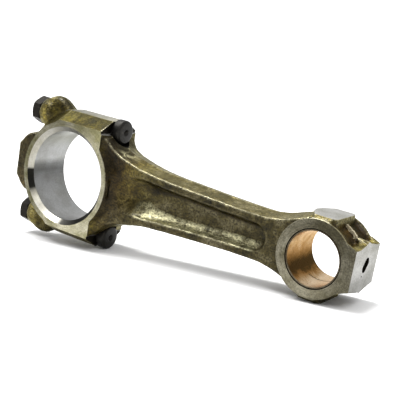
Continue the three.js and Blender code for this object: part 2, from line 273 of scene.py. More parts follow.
# materials
def newMaterial(name):
    material = bpy.data.materials.new(name)
    material.use_nodes = True
    nodes = material.node_tree.nodes
    nodes.clear()
    output = nodes.new("ShaderNodeOutputMaterial")
    shader = nodes.new("ShaderNodeBsdfPrincipled")
    material.node_tree.links.new(shader.outputs["BSDF"], output.inputs["Surface"])
    return material, shader


class nodeKit:
    # short hands for wiring one material
    def __init__(self, material):
        self.tree = material.node_tree

    def add(self, kind, **values):
        node = self.tree.nodes.new("ShaderNode" + kind)
        for key, value in values.items():
            setattr(node, key, value)
        return node

    def link(self, source, target):
        self.tree.links.new(source, target)

    def feed(self, value, socket):
        # a socket takes another node, a number or a colour
        if isinstance(value, (int, float)):
            socket.default_value = value
        elif isinstance(value, tuple):
            socket.default_value = (*value, 1)
        else:
            self.link(value, socket)

    def coords(self):
        return self.add("TexCoord").outputs["Object"]

    def split(self, vector):
        node = self.add("SeparateXYZ")
        self.link(vector, node.inputs[0])
        return node.outputs

    def vector(self, operation, a, b=None):
        node = self.add("VectorMath", operation=operation)
        self.link(a, node.inputs[0])
        if b is not None:
            node.inputs[1].default_value = b
        return node.outputs

    def noise(self, vector, scale, detail=4, roughness=0.55, distortion=0.0):
        node = self.add("TexNoise")
        settings = {"Scale": scale, "Detail": detail, "Roughness": roughness, "Distortion": distortion}
        for key, value in settings.items():
            node.inputs[key].default_value = value
        self.link(vector, node.inputs["Vector"])
        return node.outputs["Fac"]

    def math(self, operation, a, b=None, clamp=False):
        node = self.add("Math", operation=operation, use_clamp=clamp)
        for socket, value in zip(node.inputs, (a, b)):
            if value is not None:
                self.feed(value, socket)
        return node.outputs[0]

    def rise(self, value, start, width):
        # 0 up to start, 1 once past start + width
        return self.math("DIVIDE", self.math("SUBTRACT", value, start), width, True)

    def fall(self, value, end, width):
        # 1 up to end - width, 0 once past end
        return self.math("DIVIDE", self.math("SUBTRACT", end, value), width, True)

    def both(self, first, *others):
        for other in others:
            first = self.math("MULTIPLY", first, other)
        return first

    def without(self, amount, spot):
        return self.math("MULTIPLY", amount, self.math("SUBTRACT", 1.0, spot))

    def angle(self, parts):
        # a whole turn from 0 to 1 about the Y axis; half a turn points at the pin end
        turn = self.math("ARCTAN2", parts["Z"], parts["X"])
        return self.math("ADD", self.math("DIVIDE", turn, 2 * math.pi), 0.5)

    def ramp(self, value, stops):
        # stops are (position, colour) or (position, grey)
        node = self.add("ValToRGB")
        elements = node.color_ramp.elements
        elements.remove(elements[1])
        for position, colour in stops:
            element = elements[0] if position == stops[0][0] else elements.new(position)
            element.position = position
            element.color = (*colour, 1) if isinstance(colour, tuple) else (colour, colour, colour, 1)
        self.link(value, node.inputs["Fac"])
        return node.outputs["Color"]

    def mix(self, amount, a, b):
        node = self.add("Mix", data_type="RGBA")
        for value, socket in ((amount, node.inputs[0]), (a, node.inputs[6]), (b, node.inputs[7])):
            self.feed(value, socket)
        return node.outputs[2]

    def multiply(self, a, b):
        node = self.add("Mix", data_type="RGBA", blend_type="MULTIPLY")
        for value, socket in ((1.0, node.inputs[0]), (a, node.inputs[6]), (b, node.inputs[7])):
            self.feed(value, socket)
        return node.outputs[2]

    def stain(self, amount, colour, tint):
        # colour, multiplied by tint where amount is 1
        return self.mix(amount, colour, self.multiply(colour, tint))

    def spread(self, value, share, start):
        return self.math("ADD", self.math("MULTIPLY", value, share), start)

    def dress(self, shader, colour, metal, rough, normal):
        shader.inputs["Metallic"].default_value = metal
        for key, source in (("Base Color", colour), ("Roughness", rough), ("Normal", normal)):
            self.link(source, shader.inputs[key])

    def bump(self, height, strength, distance, under=None):
        node = self.add("Bump")
        node.inputs["Strength"].default_value = strength
        node.inputs["Distance"].default_value = distance
        self.link(height, node.inputs["Height"])
        if under:
            self.link(under, node.inputs["Normal"])
        return node.outputs["Normal"]


forgedLook = {
    "dark": (0.006, 0.0045, 0.0015),
    "olive": (0.062, 0.050, 0.018),
    "grey": (0.165, 0.145, 0.090),
    # worn: rubbed edges and a painted edge highlight
    "worn": (0.62, 0.57, 0.38),
    "oilTint": (1.05, 0.97, 0.26),
    "glint": (0.95, 0.9, 0.6),
    # old oil crust and a painted dark reflection round the crank end, by distance from its upper half in
    # millimetres
    "crustAndReflectionHeight": 14.0,
    "crustAndReflectionNear": 34.0,
    "crustAndReflectionFar": 62.0,
    "crustAndReflectionSkin": (0.013, 0.009, 0.0035),
    "crustAndReflection": [(0.0, (0.20, 0.14, 0.07)), (0.3, (0.38, 0.27, 0.14)), (0.6, (0.8, 0.72, 0.6)),
              (1.0, (1, 1, 1))],
    "crustAndReflectionCover": [(0.0, 0.75), (0.35, 0.55), (0.8, 0.0)],
    # along the cap from the nut seat: a painted highlight on the collar, then a hump, then olive oil on the
    # flank
    "capHighlightAndOil": [(0.0, (1.3, 1.3, 1.1)), (0.04, (1.8, 1.8, 1.6)), (0.075, (2.8, 2.8, 2.4)),
                 (0.105, (2.0, 2.0, 1.7)), (0.14, (0.85, 0.84, 0.7)), (0.25, (0.8, 0.78, 0.6)),
                 (0.32, (0.54, 0.53, 0.26)), (0.84, (0.54, 0.53, 0.26)), (0.87, (1, 1, 1))],
    "capStart": -37.5,
    "capSpan": 75.0,
    "capHeight": 26.0,
    "humpTop": (0.24, 0.23, 0.20),
    "humpAlong": [(0.11, 0.0), (0.15, 1.0), (0.3, 1.0), (0.34, 0.0)],
    "humpOiled": [(0.11, 0.0), (0.14, 0.7), (0.3, 0.7), (0.34, 0.0)],
    "capPadDirt": (0.36, 0.31, 0.29),
    # how much of each there is along the rod, from 0 at the cap to 1 at the pin end
    "oilAlong": [(0.0, 0.6), (0.2, 0.9), (0.36, 0.9), (0.46, 0.4), (0.6, 0.15), (0.84, 0.2), (0.9, 0.9),
                 (1.0, 1.0)],
    "dryAlong": [(0.3, 0.0), (0.34, 1.0), (0.5, 1.0), (0.56, 0.0)],
    "beamAlong": [(0.42, 0.0), (0.5, 1.0)],
    "pocketAlong": [(0.40, 0.0), (0.45, 1.0), (0.735, 1.0), (0.76, 0.0)],
    "pocketEndAlong": [(0.70, 0.0), (0.73, 1.0), (0.80, 1.0), (0.83, 0.0)],
    "capPadAlong": [(0.045, 1.0), (0.065, 0.0)],
    # where the painted highlight under the upper bolt head lies
    "patchAlong": [(0.326, 0.0), (0.34, 1.0), (0.355, 1.0), (0.39, 0.0)],
    "hollowAlong": [(0.893, 0.0), (0.915, 1.0)],
    "dryTint": (0.25, 0.25, 0.25),
    # painted shade for the sides of the beam and a painted highlight for its top
    "sideShade": (0.80, 0.79, 0.76),
    "topHighlight": (1.22, 1.22, 1.25),
    # a painted highlight for the wet sill and the root under the upper bolt head, painted shade for the
    # pocket's roof
    "highlightColour": (0.74, 0.70, 0.42),
    "roofShade": (0.20, 0.16, 0.11),
    # oil and painted shade in the hollows by the pin end
    "hollowReach": 23.4,
    "hollowOilAndShade": (0.42, 0.28, 0.09),
    "speck": 0.2,           # how dark the scale pits are
    "metal": 0.85,
    "oil": 0.12,
    "oilRough": 0.2,
    # how fine each kind of unevenness is
    "broad": 48,
    "blotch": 170,
    "height": 420,
    "grain": 850,
    "swell": 150,
}


def forgedMaterial():
    # oily forged skin: dark scale, an olive oil film and rubbed grey high spots, with painted highlights and
    # painted shade laid on by which way the skin faces and where it lies
    look = forgedLook
    material, shader = newMaterial("forgedSkin")
    n = nodeKit(material)
    here = n.coords()
    broad = n.noise(here, look["broad"], 3)
    blotch = n.noise(here, look["blotch"], 6, 0.62, 0.3)
    grain = n.noise(here, look["grain"], 5, 0.65)
    height = n.noise(here, look["height"], 6, 0.62)
    at = n.split(here)
    upward = n.split(n.add("NewGeometry").outputs["Normal"])["Z"]
    pointed = n.add("NewGeometry").outputs["Pointiness"]
    along = n.math("DIVIDE", n.math("SUBTRACT", at["X"], cadLow[0]), cadHigh[0] - cadLow[0])
    above = n.math("SUBTRACT", at["Z"], crankCentre.z)
    apart = n.math("ABSOLUTE", above)
    topHalf = n.rise(above, -0.001, 0.002)
    where = {spot: n.ramp(along, look[spot + "Along"])
             for spot in ("oil", "dry", "beam", "pocket", "pocketEnd", "capPad", "patch", "hollow")}

    amount = n.math("ADD", n.math("MULTIPLY", broad, 0.55), n.math("MULTIPLY", blotch, 0.45))
    base = n.ramp(amount, [(0.38, look["dark"]), (0.49, look["olive"]), (0.62, look["grey"])])
    # the oil has run off the lower half of the web
    oily = n.multiply(where["oil"], n.ramp(n.noise(here, 60, 4, 0.6), [(0.38, 0.25), (0.56, 1.0)]))
    dry = n.both(where["dry"], n.fall(at["Z"], crankCentre.z + 0.004, 0.016))
    oily = n.multiply(oily, n.mix(dry, (1.0, 1.0, 1.0), look["dryTint"]))
    colour = n.stain(oily, base, look["oilTint"])
    # painted shade on the sides of the beam and a painted highlight on its top, by which way the skin faces
    sideways = n.math("SUBTRACT", 1.0, n.math("MULTIPLY", n.math("ABSOLUTE", upward), 1.6), True)
    colour = n.stain(n.both(sideways, where["beam"]), colour, look["sideShade"])
    colour = n.stain(n.both(n.rise(upward, 0.6, 0.3), where["beam"]), colour, look["topHighlight"])
    # dark oil crust and a painted dark reflection on the beam side of the crank end
    crustAndReflectionCentre = tuple(crankCentre + Vector((0, 0, look["crustAndReflectionHeight"] * mm)))
    fromCrank = n.vector("DISTANCE", here, crustAndReflectionCentre)["Value"]
    span = (look["crustAndReflectionFar"] - look["crustAndReflectionNear"]) * mm
    reach = n.math("DIVIDE", n.math("SUBTRACT", fromCrank, look["crustAndReflectionNear"] * mm), span)
    reach = n.math("ADD", reach, n.math("MULTIPLY", n.math("SUBTRACT", blotch, 0.5), 0.4), True)
    beamSide = n.rise(at["X"], crankCentre.x + 0.025, 0.006)
    colour = n.stain(beamSide, colour, n.ramp(reach, look["crustAndReflection"]))
    colour = n.mix(n.both(beamSide, n.ramp(reach, look["crustAndReflectionCover"])), colour, look["crustAndReflectionSkin"])
    # inside the pocket the wet sill gets a painted highlight and the roof painted shade
    sillHighlight = n.without(n.rise(upward, 0.12, 0.35), topHalf)
    highlightSpots = n.ramp(n.noise(here, 110, 5, 0.65), [(0.38, 0.12), (0.5, 0.95)])
    colour = n.mix(n.both(sillHighlight, where["pocket"], highlightSpots), colour, look["highlightColour"])
    roofShade = n.both(n.fall(upward, -0.05, 0.3), topHalf, where["pocket"])
    colour = n.stain(roofShade, colour, look["roofShade"])
    # the bosses on the cap and the flanks beside the flats: a painted highlight on the collar and olive oil
    # on the flank
    onCap = n.rise(apart, look["capHeight"] * mm, 0.003)
    fromSeat = n.rise(at["X"], crankCentre.x + look["capStart"] * mm, look["capSpan"] * mm)
    colour = n.stain(onCap, colour, n.ramp(fromSeat, look["capHighlightAndOil"]))
    level = n.rise(n.math("ABSOLUTE", upward), 0.35, 0.4)
    humpTop = n.both(n.ramp(fromSeat, look["humpAlong"]), level, onCap)
    colour = n.stain(humpTop, colour, look["humpTop"])
    colour = n.stain(n.without(where["capPad"], onCap), colour, look["capPadDirt"])
    # a painted highlight on the beam root under the upper bolt head, on faces that look up
    patch = n.both(where["patch"], n.rise(above, 0.016, 0.004), n.rise(upward, 0.15, 0.3))
    colour = n.mix(n.both(patch, n.ramp(blotch, [(0.44, 0.0), (0.6, 0.4)])), colour, look["highlightColour"])
    # black oil and painted shade in the hollows round the pin end
    fromPin = n.vector("SUBTRACT", here, pinCentre)[0]
    outward = n.vector("LENGTH", n.vector("MULTIPLY", fromPin, (1, 0, 1))[0])["Value"]
    hollow = n.both(n.fall(outward, look["hollowReach"] * mm, 0.0014), where["hollow"])
    colour = n.stain(hollow, colour, look["hollowOilAndShade"])
    # edges are painted bright, partly rubbed wear and partly a painted highlight on edges that face up, but
    # not those that face the floor, the pocket's end, the hump or the joint of the cap
    rubbed = n.both(n.ramp(pointed, [(0.505, 0.0), (0.555, 1.0)]), n.ramp(height, [(0.35, 0.25), (0.6, 0.9)]))
    # only edges that face up carry the painted highlight
    rubbed = n.both(rubbed, n.rise(upward, -0.25, 0.4))
    pocketEnd = n.both(where["pocketEnd"], n.fall(apart, 0.0125, 0.003))
    rubbed = n.without(rubbed, n.both(pocketEnd, 0.85))
    rubbed = n.without(rubbed, n.both(onCap, n.ramp(fromSeat, look["humpOiled"])))
    fromParting = n.math("ABSOLUTE", n.math("SUBTRACT", at["X"], crankCentre.x))
    rubbed = n.both(rubbed, n.rise(fromParting, 0.0006, 0.0006))
    colour = n.mix(rubbed, colour, look["worn"])
    colour = n.multiply(colour, n.ramp(grain, [(0.36, look["speck"]), (0.58, 1.0)]))
    # painted shade in the creases and hollows of the skin
    colour = n.multiply(colour, n.ramp(pointed, [(0.44, 0.5), (0.495, 1.0)]))
    shader.inputs["Coat Weight"].default_value = look["oil"]
    shader.inputs["Coat Roughness"].default_value = look["oilRough"]
    shader.inputs["Specular Tint"].default_value = (*look["glint"], 1)
    relief = n.spread(height, 0.7, n.math("MULTIPLY", grain, 0.3))
    swell = n.bump(n.noise(here, look["swell"], 3, 0.5), 0.6, 0.0022)
    n.dress(shader, colour, look["metal"], n.spread(blotch, 0.45, 0.16), n.bump(relief, 0.8, 0.0008, swell))
    return material


steelLooks = {
    # tint, stain, roughness, depth of the tool marks
    "thrust": ((0.62, 0.585, 0.43), (0.33, 0.31, 0.16), 0.28, 0.4),
    "bore": ((0.34, 0.345, 0.34), (0.27, 0.27, 0.255), 0.22, 0.2),
    "chamfer": ((0.80, 0.78, 0.70), (0.66, 0.63, 0.52), 0.26, 0.2),
    # seat: near black, dark oil and painted shade for the bolt and nut seats, the cap's end pad, the oil
    # holes, the housing behind the bush and the bush's seam and outer edge
    "seat": ((0.03, 0.026, 0.018), (0.012, 0.01, 0.007), 0.34, 0.3),
    "pinFace": ((0.40, 0.37, 0.27), (0.20, 0.18, 0.11), 0.36, 0.5),
    "pad": ((0.46, 0.455, 0.43), (0.33, 0.325, 0.29), 0.38, 0.3),
    "slope": ((0.30, 0.29, 0.22), (0.17, 0.16, 0.10), 0.36, 0.5),
    "flash": ((0.80, 0.72, 0.52), (0.50, 0.42, 0.26), 0.4, 0.4),
    "bushEnd": ((0.15, 0.125, 0.085), (0.08, 0.06, 0.035), 0.35, 0.4),
    "bevel": ((0.42, 0.39, 0.28), (0.20, 0.18, 0.11), 0.34, 0.5),
}
steelMetal = {"flash": 0.45}    # the rest are fully metal
# how dark each ring is round the turn, as (turn, grey): half a turn points at the pin end,
# three quarters is the top, a whole turn the cap side and one quarter the bottom. On the bore and chamfer
# this is painted reflection, dark bands with a painted highlight on the chamfer low on the cap side;
# the thrust face, pin face and pads are only made darker in places
ringReflectionsAndDarkening = {
    "thrust": [(0.0, 0.5), (0.12, 0.38), (0.19, 0.75), (0.28, 1.0), (0.45, 0.68), (0.58, 0.68), (0.64, 0.95),
               (0.69, 0.65), (0.77, 0.42), (0.9, 0.42), (1.0, 0.5)],
    "bore": [(0.0, 0.42), (0.02, 0.3), (0.055, 0.7), (0.12, 0.9), (0.2, 0.9), (0.35, 0.8),
             (0.74, (0.48, 0.48, 0.43)), (0.82, (0.40, 0.40, 0.31)), (0.88, (0.56, 0.56, 0.47)),
             (0.94, 0.95), (0.975, 1.0), (1.0, 0.42)],
    "chamfer": [(0.0, 0.55), (0.008, 0.5), (0.014, 0.02), (0.078, 0.03), (0.088, 0.35), (0.125, 1.0),
                (0.24, 1.0), (0.262, 0.12), (0.33, 0.05), (0.45, 0.1), (0.5, 0.6), (0.8, 0.4), (0.9, 0.5),
                (1.0, 0.55)],
    "pinFace": [(0.0, 0.7), (0.14, 0.88), (0.27, 0.95), (0.4, 0.62), (0.5, 0.42), (0.62, 0.4), (0.75, 0.42),
                (0.9, 0.58), (1.0, 0.7)],
    "pad": [(0.4, 0.66), (0.45, 0.7), (0.49, 0.92), (0.55, 1.0)],
}


def steelMaterial(name, centre):
    # machined steel whose tool marks run round an axis along Y through centre
    tint, stain, rough, depth = steelLooks[name]
    material, shader = newMaterial(name + "Steel")
    n = nodeKit(material)
    here = n.coords()
    at = n.split(n.vector("SUBTRACT", here, centre)[0])
    squares = [n.math("MULTIPLY", at[axis], at[axis]) for axis in ("X", "Z")]
    rings = n.add("CombineXYZ")
    n.link(n.math("SQRT", n.math("ADD", *squares)), rings.inputs["X"])
    n.link(at["Y"], rings.inputs["Y"])
    marks = n.noise(rings.outputs[0], 2600, 3, 0.7)
    cloud = n.noise(here, 75, 5, 0.6)
    grain = n.noise(here, 1100, 5, 0.65)
    colour = n.mix(n.ramp(cloud, [(0.4, 0.0), (0.62, 1.0)]), tint, stain)
    colour = n.multiply(colour, n.ramp(marks, [(0.3, 1 - depth), (0.7, 1.0)]))
    colour = n.multiply(colour, n.ramp(grain, [(0.36, 1 - depth), (0.6, 1.0)]))
    # painted reflections on the bore and chamfer, darker in places round the turn on the other rings
    if name in ringReflectionsAndDarkening:
        colour = n.multiply(colour, n.ramp(n.angle(at), ringReflectionsAndDarkening[name]))
    relief = n.bump(n.math("ADD", marks, grain), 0.3, 0.00008)
    n.dress(shader, colour, steelMetal.get(name, 1.0), n.spread(cloud, 0.2, rough), relief)
    return material


rubbedBolt = (0.11, 0.1, 0.075)


def boltMaterial(name, tint, roughness):
    # phosphated steel under an oil film
    material, shader = newMaterial(name)
    n = nodeKit(material)
    here = n.coords()
    cloud = n.noise(here, 260, 5, 0.6)
    grain = n.noise(here, 1500, 4, 0.6)
    rubbed = n.ramp(n.noise(here, 420, 4, 0.7, 0.6), [(0.6, 0.0), (0.72, 1.0)])
    dark = tuple(c * 0.4 for c in tint)
    colour = n.mix(n.both(rubbed, 0.5), n.mix(cloud, dark, tint), rubbedBolt)
    colour = n.multiply(colour, n.ramp(grain, [(0.35, 0.5), (0.6, 1.0)]))
    n.dress(shader, colour, 0.85, n.spread(cloud, 0.25, roughness), n.bump(grain, 0.35, 0.0001))
    return material


bronzeLook = {
    "light": (0.51, 0.43, 0.31),
    "tan": (0.36, 0.285, 0.17),
    "brown": (0.20, 0.135, 0.065),
    "paleLow": (0.64, 0.57, 0.47),        # paler low in the bore
    "toast": (0.20, 0.095, 0.025),
    "varnishAndReflection": (0.004, 0.0007, 0.0001),
    "glint": (1.0, 0.78, 0.56),
    "metal": 0.95,
    # where each lies round the bore, as (turn, amount)
    "toastRound": [(0.0, 0.75), (0.05, 1.0), (0.15, 1.0), (0.2, 0.35), (0.24, 0.0), (0.86, 0.0), (0.94, 0.35),
                   (1.0, 0.75)],
    "varnishAndReflectionRound": [(0.0, 0.1), (0.04, 0.5), (0.075, 1.0), (0.13, 1.0), (0.165, 0.1), (0.19, 0.0),
                     (0.95, 0.0), (1.0, 0.1)],
    "paleLowRound": [(0.17, 0.0), (0.24, 0.7), (0.4, 0.7), (0.5, 0.0)],
}


def bronzeMaterial(centre):
    # worn bronze with baked oil and a painted dark reflection low on the crank side of the bore, paler low in
    # the bore
    look = bronzeLook
    material, shader = newMaterial("bushBronze")
    n = nodeKit(material)
    here = n.coords()
    around = n.angle(n.split(n.vector("SUBTRACT", here, centre)[0]))
    cloud = n.noise(here, 140, 6, 0.6, 0.5)
    shifted = n.math("ADD", around, n.math("MULTIPLY", n.math("SUBTRACT", cloud, 0.5), 0.12))
    tones = [(0.36, look["brown"]), (0.48, look["tan"]), (0.66, look["light"])]
    colour = n.ramp(n.noise(here, 210, 6, 0.6), tones)
    # paler low in the bore, baked oil, then a dark band of varnish and painted reflection on the crank side
    for layer in ("paleLow", "toast", "varnishAndReflection"):
        colour = n.mix(n.ramp(shifted, look[layer + "Round"]), colour, look[layer])
    colour = n.multiply(colour, n.ramp(n.noise(here, 1100, 4, 0.6), [(0.35, 0.7), (0.6, 1.0)]))
    relief = n.bump(n.noise(here, 1200, 3), 0.2, 0.00008)
    shader.inputs["Specular Tint"].default_value = (*look["glint"], 1)
    n.dress(shader, colour, look["metal"], n.spread(cloud, 0.2, 0.18), relief)
    return material


pinCentre = (crankCentre.x + pinX * mm, 0, crankCentre.z)
forged = forgedMaterial()
thrustSteel, boreSteel, chamferSteel, darkOilAndShadeSteel = (
    steelMaterial(name, tuple(crankCentre)) for name in ("thrust", "bore", "chamfer", "seat"))
pinSteel, padSteel, slopeSteel, flashSteel, bevelSteel, bushEndSteel = (
    steelMaterial(name, pinCentre) for name in ("pinFace", "pad", "slope", "flash", "bevel", "bushEnd"))
boltBlack = boltMaterial("boltBlack", (0.026, 0.0245, 0.021), 0.3)
nutBrown = boltMaterial("nutBrown", (0.015, 0.012, 0.007), 0.36)
bronze = bronzeMaterial(pinCentre)
print("materials mixed")


# crank end, shared by the rod and its cap
crankEnd = {
    "bore": 29.65,
    "chamfer": 3.0,
    "rim": 36.0,            # outer edge of the thrust ring
    "landHeight": 42.2,     # the narrow flat along the outside
    "landHalf": 7.0,
    "shoulder": 26.8,
    "allowance": 1.9,       # metal that the machining takes off each face
    "blankLand": 0.8,
    "notchFrom": crankFace * 0.2,
    "notchLong": 5,
    "notchWide": 6,
    "notchDeep": 1.4,
}
draft = (crankEnd["landHeight"] - crankEnd["rim"]) / (crankFace - crankEnd["landHalf"])


def crankSections(outline):
    # draft angle runs on past the machined face and up past the land
    c = crankEnd
    outer = crankFace + c["allowance"]
    top = c["landHalf"] - c["blankLand"] / draft
    reach = [(outer, c["rim"] - draft * c["allowance"]), (top, c["landHeight"] + c["blankLand"])]
    sides = [(-y, radius) for y, radius in reach] + [(y, radius) for y, radius in reversed(reach)]
    return [(y, outline(radius)) for y, radius in sides]


def rodCrankOutline(radius):
    shoulder = crankEnd["shoulder"] + 0.15 * (radius - crankEnd["rim"])
    edge = math.acos(shoulder / radius)
    ends = [(-2, -radius), (shoulder, -radius)], [(shoulder, radius), (-2, radius)]
    return ends[0] + arc(radius, -edge, edge, 24) + ends[1]


def capCrankOutline(radius):
    flat, sweep = 10, 1.2       # the land's length and half the round, in radians
    return ([(2, radius), (-flat, radius)] + arc(radius, math.pi - sweep, math.pi + sweep, 48)
            + [(-flat, -radius), (2, -radius)])


def crankBoreTool():
    half = crankFace + slack
    return roundBar("boreTool", -half, half, crankEnd["bore"], axis="y", steps=180)


def crankChamferTools():
    bore, outer = crankEnd["bore"], crankFace + slack
    wide = bore + crankEnd["chamfer"] + slack
    step = crankFace - crankEnd["chamfer"] - 2
    cone = [(step, 0), (step, bore - 2), (outer, wide), (outer, 0)]
    return [turned("chamferTool", [(side * y, radius) for y, radius in cone], axis="y", steps=180)
            for side in (1, -1)]


def faceTools(half, fromX, toX, reach):
    return [block("faceTool", (fromX, side * half if side > 0 else -half - 8, -reach),
                  (toX, half + 8 if side > 0 else -half, reach)) for side in (1, -1)]


def landTools(fromX, toX):
    height = crankEnd["landHeight"]
    return [block("landTool", (fromX, -25, height if side > 0 else -height - 9),
                  (toX, 25, height + 9 if side > 0 else -height)) for side in (1, -1)]


# rod body
beam = {
    "halfWidth": 12.0,
    "lean": 2.3,
    "flange": 4.9,
    "webHalf": 3.7,
    "wallRun": 5.0,
    "pocketStart": 40.0,
    "pocketStartRun": 24.0,
    "startRound": 26.0,
    "rootFlare": 0.34,
    "rootEnd": 37.0,
    "pocketEnd": 33.0,
    "pocketEndRun": 7.0,
}
beamLine = smoothLine([(28.8, 32), (31, 29), (35, 25), (44, 21.2), (66, 16.9), (pinX - 81, 14.6),
                       (pinX - 44, 13.3), (pinX - 28, 14.6), (pinX - 16, 18.4), (pinX - 9, 21)], 9)
beamX = [p[0] for p in beamLine]
beamHalf = [p[1] for p in beamLine]


def beamHalfAt(x):
    return float(np.interp(x, beamX, beamHalf))


def beamOutline(lean):
    top = [(x, z + lean) for x, z in beamLine]
    start = crankEnd["shoulder"] - 6
    return [(start, -top[0][1])] + [(x, -z) for x, z in top] + top[::-1] + [(start, top[0][1])]


def pocketOutline(depth):
    # depth 0 at the flange face, 1 at the web; the wall leans, then rounds into the web
    steps = 56
    inside = limited(depth)
    curl = max(0, (inside - 0.28) / 0.72)
    bend = 0.14 * depth + 0.86 * (1 - math.sqrt(1 - curl ** 2))
    start = beam["pocketStart"] + beam["pocketStartRun"] * (depth if depth < 0 else inside ** 1.1)
    end = pinX - beam["pocketEnd"] - beam["pocketEndRun"] * bend
    top = []
    for i in range(steps + 1):
        x = start + (end - start) * (1 - math.cos(math.pi * i / steps)) / 2
        half = beamHalfAt(x) - beam["flange"] - beam["wallRun"] * bend
        fromStart = max(0, 1 - (x - start) / beam["startRound"])
        fromEnd = max(0, 1 - (end - x) / (9 - 4 * inside))
        half *= math.sqrt(max(0, 1 - fromStart ** 2)) * math.sqrt(max(0, 1 - fromEnd ** 2))
        top.append((x, half))
    return [(x, -z) for x, z in top] + top[1:-1][::-1]


def pocketTool(side):
    depths = [-0.35, 0, 0.1, 0.2, 0.3, 0.4, 0.5, 0.6, 0.7, 0.78, 0.85, 0.91, 0.96, 1.0]
    drop = beam["halfWidth"] - beam["webHalf"]
    return drafted("pocketTool", [(side * (beam["halfWidth"] - drop * d), pocketOutline(d)) for d in depths])


pinEnd = {
    "rim": 22.9,
    "valley": 3.3,          # how far the forged wall dips either side of the flash line
    "housing": 17.2,
    "pad": 24.4,
    # end pad: distance from the middle plane, half height, then where its walls leave the ring
    "endPad": [(18.5, 10.6, 18.4, 14.4), (14.9, 10.9, 18.6, 14.2), (13.4, 11.4, 20.6, 11.6),
               (3.4, 13.6, 20.6, 12.6), (1.0, 14.2, 17.6, 15.2)],
    "endPadLow": (15.6, 15.8),      # the lower wall fills its hollow
    "sideEdgeHalf": 6.0,
    "sideMiddleHalf": 10.7,
    "sideHalfWidth": 14.2,
    "sideOuterHalf": 8.4,   # the end of each pad towards the end of the rod is cut square
    "allowance": 1.9,
    "flashFrom": 16,        # degrees off the end pad's middle where its flash ridges start
    "flashTo": 66,
    "bevelFrom": 36,
    "bevelTo": 152,
}


def pinBlank():
    outer = pinFace + pinEnd["allowance"]
    rim, valley = pinEnd["rim"], pinEnd["rim"] - pinEnd["valley"]
    half = [(outer, rim - 0.3), (pinFace - 0.8, rim), (pinFace - 1.7, rim - 0.3),
            (pinFace - 3.8, valley + 0.3), (9.5, valley), (4, valley + 0.1), (1.6, valley + 0.8),
            (0.6, valley + 1.4)]
    profile = [(-outer, 0)] + [(-y, r) for y, r in half] + half[::-1] + [(outer, 0)]
    return turned("pinBlank", profile, axis="y", centre=(pinX, 0, 0))


def sweptRing(name, steps, first, last, section):
    # section gives (along, radius) points for a share of the sweep from first to last, in degrees
    rings = []
    for i in range(steps + 1):
        a = math.radians(first + (last - first) * i / steps)
        rings.append([(pinX + r * math.cos(a), y, r * math.sin(a)) for y, r in section(i)])
    return fromRings(name, rings)


def flashRidges():
    # crisp trimmed flash standing in the hollows between the pads
    p = pinEnd
    ridges = []
    for seed, (first, last) in enumerate(((p["flashFrom"], p["flashTo"]), (-p["flashTo"], -p["flashFrom"]))):
        def section(i):
            ragged = 0.45 * noise.noise(Vector((i / 3.0, seed * 9, 0)))
            shift = 0.5 * noise.noise(Vector((i / 9.0, seed * 9, 5)))
            return [(shift - 1.0, 18), (shift - 0.5, p["rim"] - 0.4 + ragged),
                    (shift + 0.5, p["rim"] - 0.2 + ragged), (shift + 1.0, 18)]
        ridges.append(sweptRing("flashRidge", 60, first, last, section))
    return ridges


def endPadBlank():
    # a full end at each face; between them the hollows run right up to the pad
    reach = pinX + pinEnd["pad"] + pinEnd["allowance"]
    lowX, lowHalf = pinEnd["endPadLow"]
    sections = []
    for y, half, rootX, rootHalf in pinEnd["endPad"]:
        upper = [(reach, half), (pinX + rootX, rootHalf), (pinX + 8, 9)]
        sections.append((y, [(pinX + 8, -12), (pinX + lowX, -lowHalf), (reach, -half)] + upper))
    return drafted("endPadBlank", [(-y, outline) for y, outline in sections] + sections[::-1])


def sidePadBlank(side):
    # barrel shaped pads that slope down to the ring at both faces
    p = pinEnd
    reach = p["pad"] + p["allowance"]
    outer = pinFace + p["allowance"]
    slope = (p["pad"] - p["rim"] + 0.6) / (pinFace - p["sideHalfWidth"])
    crest = p["sideHalfWidth"] - p["allowance"] / slope

    def outline(half, z):
        low, high = sorted((side * 12, side * z))
        outerX = pinX + (p["sideOuterHalf"] if half > 4.5 else 2.5)
        return [(pinX - half, low), (outerX, low), (outerX, high), (pinX - half, high)]
    rows = [(outer, 4.0, reach - slope * (outer - crest)), (crest, p["sideEdgeHalf"], reach),
            (crest / 2, (p["sideEdgeHalf"] + 3 * p["sideMiddleHalf"]) / 4, reach)]
    front = [(-y, outline(half, z)) for y, half, z in rows]
    back = [(y, outline(half, z)) for y, half, z in rows[::-1]]
    return drafted("sidePadBlank", front + [(0, outline(p["sideMiddleHalf"], reach))] + back)


def rimBevels():
    # a bright narrow bevel on the outer edge of both faces, above and below
    p = pinEnd
    edge = p["rim"]
    tools = []
    for front in (1, -1):
        low, high = front * (pinFace - 0.55), front * (pinFace + 1)
        ring = [(low, edge + 0.1), (high, edge - 1.25), (high, edge + 0.6), (low, edge + 0.6)]
        for first, last in ((p["bevelFrom"], p["bevelTo"]), (-p["bevelTo"], -p["bevelFrom"])):
            tools.append(sweptRing("rimBevel", 72, first, last, lambda i: ring))
    return tools


def slopeTools():
    # bevels on the upper and lower pads, from each face up to the flat
    p = pinEnd
    outer, crest = pinFace + 1, p["sideHalfWidth"]
    corners = [(outer, p["rim"] - 1.2), (outer, p["pad"] + 2), (crest - 1.5, p["pad"] + 2),
               (crest + 0.35, p["pad"])]
    tools = []
    for side in (1, -1):
        for front in (1, -1):
            rings = [[(x, front * y, side * z) for y, z in corners] for x in (pinX - 9, pinX + 9)]
            tools.append(fromRings("slopeTool", rings))
    return tools


headSeat = {"reach": 26.3, "step": 34.2, "spot": 9.0, "spotLength": 26.0}


